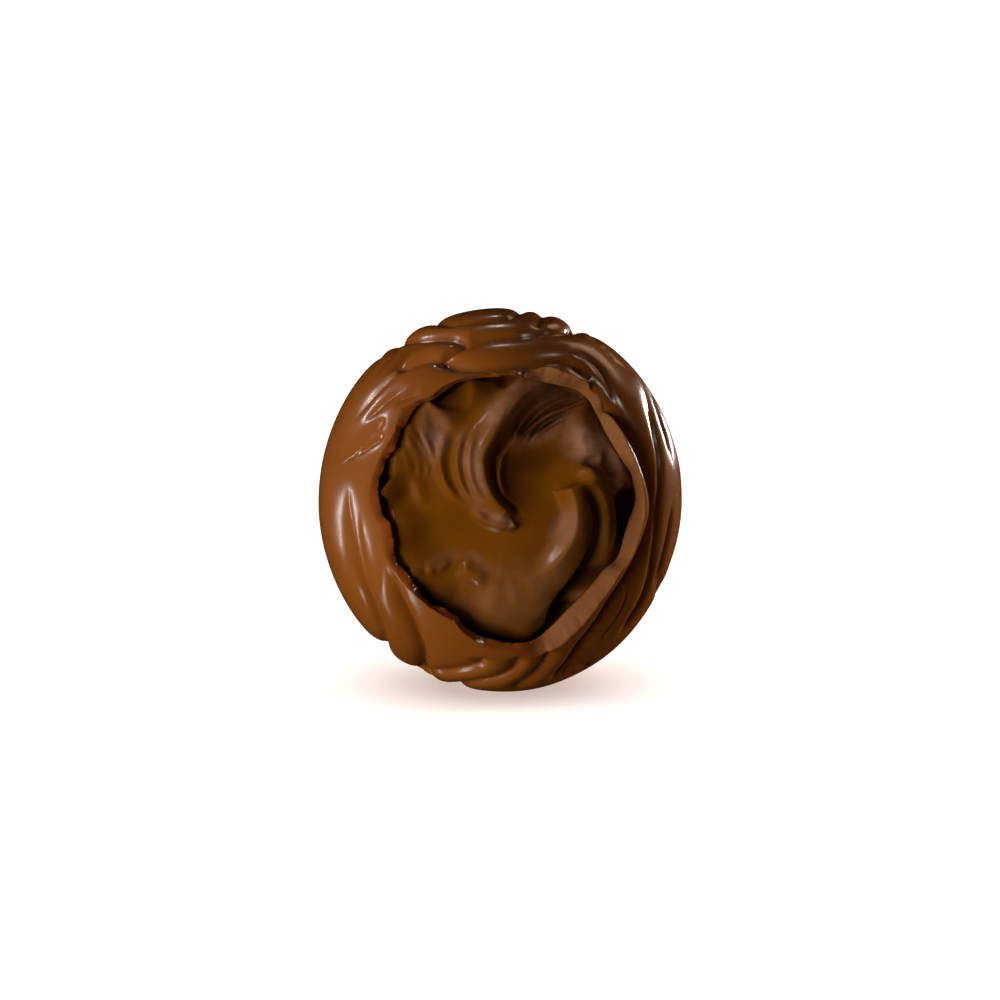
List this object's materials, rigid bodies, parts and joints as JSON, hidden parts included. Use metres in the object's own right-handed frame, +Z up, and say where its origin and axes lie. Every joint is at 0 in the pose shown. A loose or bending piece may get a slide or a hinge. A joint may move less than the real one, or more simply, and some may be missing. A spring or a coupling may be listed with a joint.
{
  "type": "chocolate truffle",
  "caption": "Round filled chocolate truffle with a spiral crown and fluted sides, its shell broken open in front over a stirred soft filling.",
  "frame": {"origin": "on the floor, under the middle of the object's box", "axes": "+Z up through the spiral crown; the broken opening faces -Y; +X is to the right of the opening"},
  "size_m": [0.0269, 0.025, 0.028],
  "materials": {
    "milk_chocolate": "satin chocolate, moulded",
    "soft_filling": "wet gloss, stirred"
  },
  "bodies": {
    "root": {"shell": "milk_chocolate", "filling": "soft_filling"}
  },
  "joints": []
}
